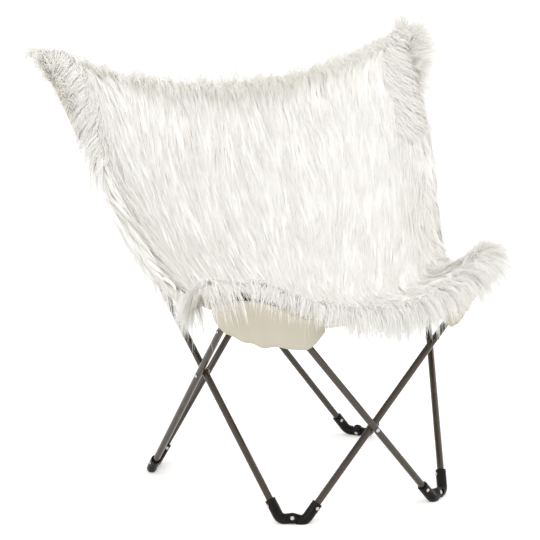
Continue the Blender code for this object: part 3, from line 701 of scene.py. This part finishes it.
def crest_locks(kind, coat, high):
    """Locks that stand up from the top edge, leaning forward, and shorter ones around the tips."""
    count = len(high)
    u, v = rng.uniform(-0.97, 0.97, count), rng.uniform(-0.012, 0.012, count)
    tip = rng.random(count) < 0.2
    u = np.where(tip, np.sign(u) * rng.uniform(0.92, 1.04, count), u)
    v = np.where(tip, rng.uniform(-0.018, 0.03, count), v)
    at, along_u, along_v, normal = rolled_frame(u, v)
    way = normal * rng.uniform(0.7, 1.2, (count, 1))
    way = way - unit(along_v) * rng.uniform(0.3, 0.9, (count, 1))
    way = way + unit(along_u) * (0.5 * u**3)[:, None]
    around = unit(at - sling(0.85 * np.sign(u), np.full(count, 0.07)))
    around = around + normal * rng.uniform(-0.2, 0.7, (count, 1))
    way = unit(np.where(tip[:, None], around, way) + rng.normal(0, 0.22, (count, 3)))
    long = rng.uniform(coat["short"], coat["long"], count)
    long = long * np.where(tip, TIP_LONG, np.where(np.abs(u) > 0.93, 0.6, 1.0))
    lines, faces = stand_locks(at, normal, long, way, DROOP.get(kind, USUAL_DROOP))
    return u, v, high, lines, faces


STANDING = {"tuft": tuft_locks, "crest": crest_locks}


def make_fur():
    """All fur, as three pieces for each quarter."""
    amount = 1.0
    grown = {}
    for kind, coat in COATS.items():
        high = coat["high"] * rng.uniform(0.5, 1.2, int(coat["count"] * amount))
        u, v, high, lines, faces = STANDING.get(kind, lying_locks)(kind, coat, high)
        points, normals, chart, lock = strands_of_locks(coat, lines, faces, high)
        part = np.where(v < SEAM, "back", "seat")
        side = np.where(u < 0, "_left", "_right")
        grown[kind] = points, normals, chart, np.char.add(part, side)[lock]
    made = {}
    for name in QUARTERS:
        made[name] = []
        for piece, kinds in FUR_PIECES.items():
            sets = []
            for kind in kinds:
                points, normals, chart, quarter = grown[kind]
                mine = quarter == name
                sets.append((points[mine], normals[mine], chart[mine]))
            item = add_fur(piece + "_" + name, sets)
            follow(item, name)
            made[name].append(item)
    return made


# Hide, pockets and stitches


def add_stitches(name, rows):
    """Short raised thread stitches along rows of points, each with the way that the cloth faces."""
    ring = np.linspace(0, 2 * math.pi, STITCH_SIDES, endpoint=False)
    points, faces = [], []

    def at_length(length, values):
        return np.array([np.interp(length, lengths, values[:, k]) for k in range(3)])

    for line, facing in rows:
        lengths = np.concatenate([[0], np.cumsum(np.linalg.norm(np.diff(line, axis=0), axis=1))])
        for begin in np.arange(STITCH_GAP, lengths[-1] - STITCH_LONG, STITCH_LONG + STITCH_GAP):
            first, last = at_length(begin, line), at_length(begin + STITCH_LONG, line)
            along = unit(last - first)
            side = unit(np.cross(along, at_length(begin, facing)))
            over = np.cross(side, along)
            base = len(points)
            for share, size, lift in STITCH_RINGS:
                middle = first + (last - first) * share + over * STITCH_THICK * lift
                for angle in ring:
                    out = side * math.cos(angle) + over * math.sin(angle)
                    points.append(middle + out * STITCH_THICK * size / 2)
            for k in range(len(STITCH_RINGS) - 1):
                for j in range(STITCH_SIDES):
                    a = base + STITCH_SIDES * k + j
                    b = base + STITCH_SIDES * k + (j + 1) % STITCH_SIDES
                    faces.append((a, b, b + STITCH_SIDES, a + STITCH_SIDES))
            far = base + STITCH_SIDES * (len(STITCH_RINGS) - 1)
            faces.append(tuple(base + STITCH_SIDES - 1 - j for j in range(STITCH_SIDES)))
            faces.append(tuple(far + j for j in range(STITCH_SIDES)))
    return add_mesh(name, points, faces, THREAD)


def make_hide(furs):
    """The hide under the fur and its lining, as one thin closed sheet for each quarter."""
    columns = {"left": np.linspace(-REACH_U, 0, HIDE_COLUMNS),
               "right": np.linspace(0, REACH_U, HIDE_COLUMNS)}
    rows = {"back": np.linspace(-REACH_V, SEAM, BACK_ROWS),
            "seat": np.linspace(SEAM, 1 + REACH_V, SEAT_ROWS)}
    for name, (body, _, _) in QUARTERS.items():
        part, side = name.split("_")
        us, vs = columns[side], rows[part]
        at, _, _, normal = rolled_frame(*(x.ravel() for x in np.meshgrid(us, vs)))
        grid = at.reshape(len(vs), len(us), 3)
        item = add_sheet("sling_" + name, grid, normal, HIDE_THICK, HIDE, LINING)
        follow(item, name)
        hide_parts("sling_cover")
        # Stitches at the middle seam, along the side hem, and along the top or front hem
        seams = (us[-4], us[4]) if side == "left" else (us[3], us[-5])
        hem = vs[4] if part == "back" else vs[-5]
        lines = [(np.full(len(vs), seam), vs) for seam in seams] + [(us, np.full(len(us), hem))]
        sewn = []
        for u, v in lines:
            spot, _, _, facing = rolled_frame(u, v)
            sewn.append((spot - facing * (HIDE_THICK / 2 + STITCH_LIFT), -facing))
        thread = add_stitches("stitches_" + name, sewn)
        follow(thread, name)


def make_pocket(name):
    """One cloth pocket with the stitches along its hem."""
    body, pin, outward, _, way, _ = POCKETS[name]
    way = np.array(way)
    s, t = np.meshgrid(np.linspace(-1, 1, POCKET_COLUMNS), np.linspace(0, 1, POCKET_ROWS))
    grid = pocket_place(name, s.ravel(), t.ravel()).reshape(POCKET_ROWS, POCKET_COLUMNS, 3)
    item = add_sheet("pocket_" + name, grid, way, POCKET_THICK, LINING)
    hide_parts(name + "_pocket")
    hem = grid[-2] + way * (POCKET_THICK / 2 + STITCH_LIFT)
    thread = add_stitches("stitches_" + name, [(hem, np.tile(way, (POCKET_COLUMNS, 1)))])
    for piece in (item, thread):
        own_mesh(piece)
        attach(piece, body)


# Finishes of the frame


def dress_frame():
    """Paint on the tubes, dark castings at their ends, and bare metal on rivets and pins."""
    looks = {"tube": PAINT, "elbow": CAST, "rivet": METAL, "pin": METAL}
    for name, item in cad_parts.items():
        look = looks.get(name.split("_")[-1])
        if look:
            for place in item.material_slots:
                place.material = look


# Studio

# Lamps: name, place, size in metres and power in watts, all turned to one point
LAMPS = (("key", (-3.0, -1.2, 2.2), 2.4, 18.0), ("side", (2.8, -1.2, 2.0), 1.6, 8.0),
         ("top", (0.0, -0.8, 3.2), 2.4, 24.0))
LAMP_AIM = Vector((0, 0, 0.5))
WORLD_LIGHT, WORLD_SEEN, FLOOR_GLOW, FLOOR_HALF = 0.84, 1.0, 0.35, 40
WHITE = (1.0, 1.0, 1.0)

# White fur passes light on from strand to strand many times
ALL_BOUNCES, DIFFUSE_BOUNCES = 16, 12

# The camera, from the fit to the photo: lens and sensor in millimetres, place and directions
LENS, SENSOR = 120.21, 36.0
CAMERA_PLACE = (-1.83586, -3.27853, 1.23608)
CAMERA_TURN = ((0.88060466, -0.47361664, -0.01492372), (0.10825707, 0.17042328, 0.9794061),
               (-0.46131968, -0.86408517, 0.20134788))


def show_background(tree, plain, seen, out):
    """Shows one shader to the camera, in reflections and in glass, and the plain one to other light."""
    ray = tree.nodes.new("ShaderNodeLightPath")
    mirror = node(tree, "ShaderNodeMath", operation="MAXIMUM")
    either = node(tree, "ShaderNodeMath", operation="MAXIMUM")
    tree.links.new(ray.outputs["Is Glossy Ray"], mirror.inputs[0])
    tree.links.new(ray.outputs["Is Transmission Ray"], mirror.inputs[1])
    tree.links.new(ray.outputs["Is Camera Ray"], either.inputs[0])
    tree.links.new(mirror.outputs[0], either.inputs[1])
    blend = tree.nodes.new("ShaderNodeMixShader")
    tree.links.new(either.outputs[0], blend.inputs[0])
    tree.links.new(plain.outputs[0], blend.inputs[1])
    tree.links.new(seen.outputs[0], blend.inputs[2])
    tree.links.new(blend.outputs[0], out.inputs["Surface"])


def make_floor():
    matt = {"Specular IOR Level": 0.0}
    white, plain, tree = new_material("studio_white", WHITE, 0.9, matt)
    seen = tree.nodes.new("ShaderNodeBsdfPrincipled")
    set_inputs(seen, {"Base Color": (*WHITE, 1.0), "Roughness": 0.9, **matt,
                      "Emission Color": (*WHITE, 1.0), "Emission Strength": FLOOR_GLOW})
    show_background(tree, plain, seen, tree.nodes["Material Output"])
    corners = [(x * FLOOR_HALF, y * FLOOR_HALF, 0) for x, y in ((-1, -1), (1, -1), (1, 1), (-1, 1))]
    add_mesh("floor", corners, [(0, 1, 2, 3)], white)


def make_lights():
    world = bpy.data.worlds.new("studio")
    bpy.context.scene.world = world
    world.use_nodes = True
    tree = world.node_tree
    seen = tree.nodes["Background"]
    set_inputs(seen, {"Color": (*WHITE, 1.0), "Strength": WORLD_SEEN})
    plain = node(tree, "ShaderNodeBackground", Color=(*WHITE, 1.0), Strength=WORLD_LIGHT)
    show_background(tree, plain, seen, tree.nodes["World Output"])
    for name, place, size, power in LAMPS:
        lamp = bpy.data.lights.new(name, "AREA")
        lamp.energy = power
        lamp.size = size
        item = add_object(name, lamp)
        item.location = place
        item.rotation_euler = (LAMP_AIM - Vector(place)).to_track_quat("-Z", "Y").to_euler()


def make_camera():
    scene = bpy.context.scene
    scene.cycles.max_bounces = ALL_BOUNCES
    scene.cycles.diffuse_bounces = DIFFUSE_BOUNCES
    scene.view_settings.view_transform = "Standard"
    lens = bpy.data.cameras.new("photo")
    lens.lens = LENS
    lens.sensor_width = SENSOR
    camera = add_object("photo", lens)
    turn = Matrix(CAMERA_TURN).transposed().to_4x4()
    camera.matrix_world = Matrix.Translation(CAMERA_PLACE) @ turn
    scene.camera = camera


make_floor()
make_lights()
make_camera()
make_hide(make_fur())
for pocket in POCKETS:
    make_pocket(pocket)
dress_frame()
